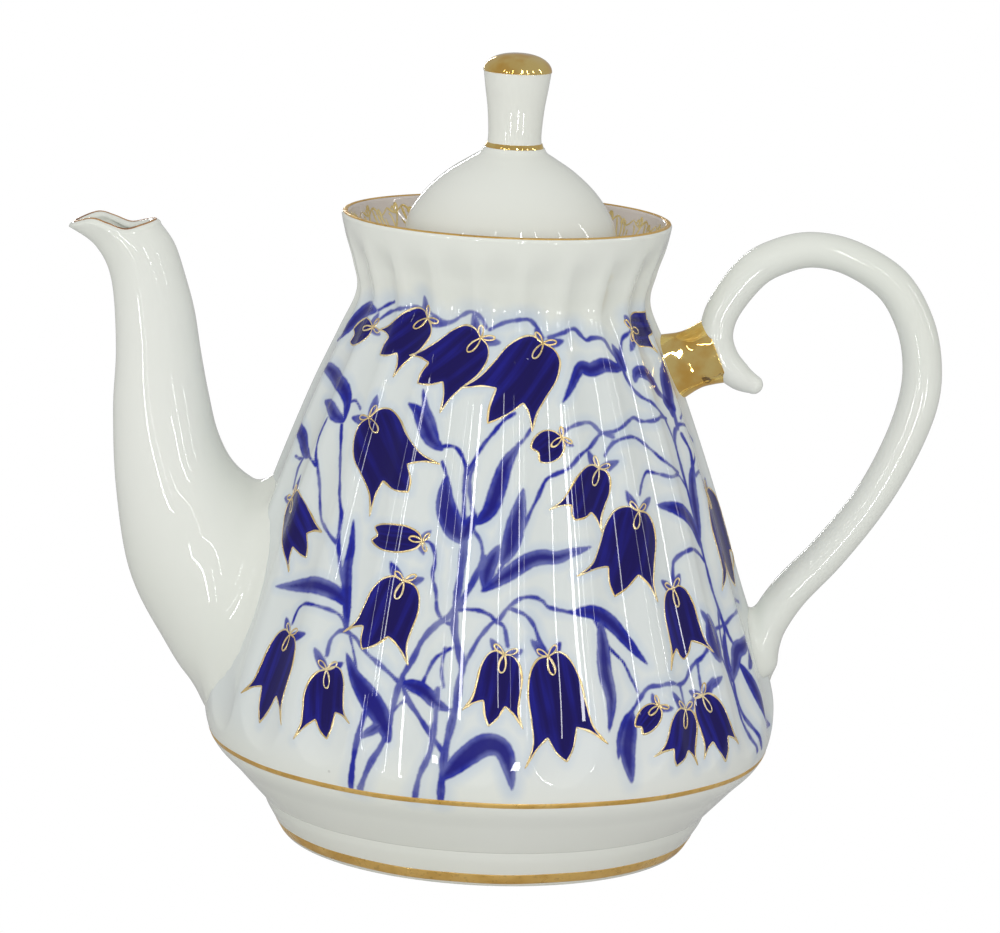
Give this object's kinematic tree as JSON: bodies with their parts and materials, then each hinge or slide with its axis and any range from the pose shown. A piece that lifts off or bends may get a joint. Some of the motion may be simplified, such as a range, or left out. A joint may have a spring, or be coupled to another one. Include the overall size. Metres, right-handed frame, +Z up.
{
  "type": "porcelain teapot",
  "caption": "Pear-shaped white porcelain teapot with a fluted body, swan-neck spout, loop handle and lift-off knobbed lid, painted with blue bellflowers and gilded lines.",
  "frame": {"origin": "on the body's axis, in the plane the foot ring stands on", "axes": "+Z up along the body's axis; the spout points to -X and the handle to +X"},
  "size_m": [0.1768, 0.1154, 0.16],
  "materials": {
    "painted_porcelain": "clear glossy glaze over cobalt underglaze painting",
    "porcelain": "clear glossy glaze",
    "gilding": "fired-on bright gold"
  },
  "bodies": {
    "pot": {"body_shell": "painted_porcelain", "neck": "painted_porcelain", "foot_base": "porcelain", "spout": "porcelain", "handle_loop": "porcelain", "handle_strut": "gilding", "rim_gilding": "gilding", "shoulder_gilding": "gilding", "foot_gilding": "gilding", "spout_lip_gilding": "gilding"},
    "lid": {"lid_dome": "porcelain", "lid_skirt": "porcelain", "lid_lock_lug": "porcelain", "lid_knob": "porcelain", "knob_cap_gilding": "gilding", "knob_ring_gilding": "gilding"}
  },
  "joints": [
    {"name": "lid_lift", "type": "slide", "parent": "pot", "child": "lid", "axis": [0, 0, 1], "range_m": [0, 0.06]}
  ]
}
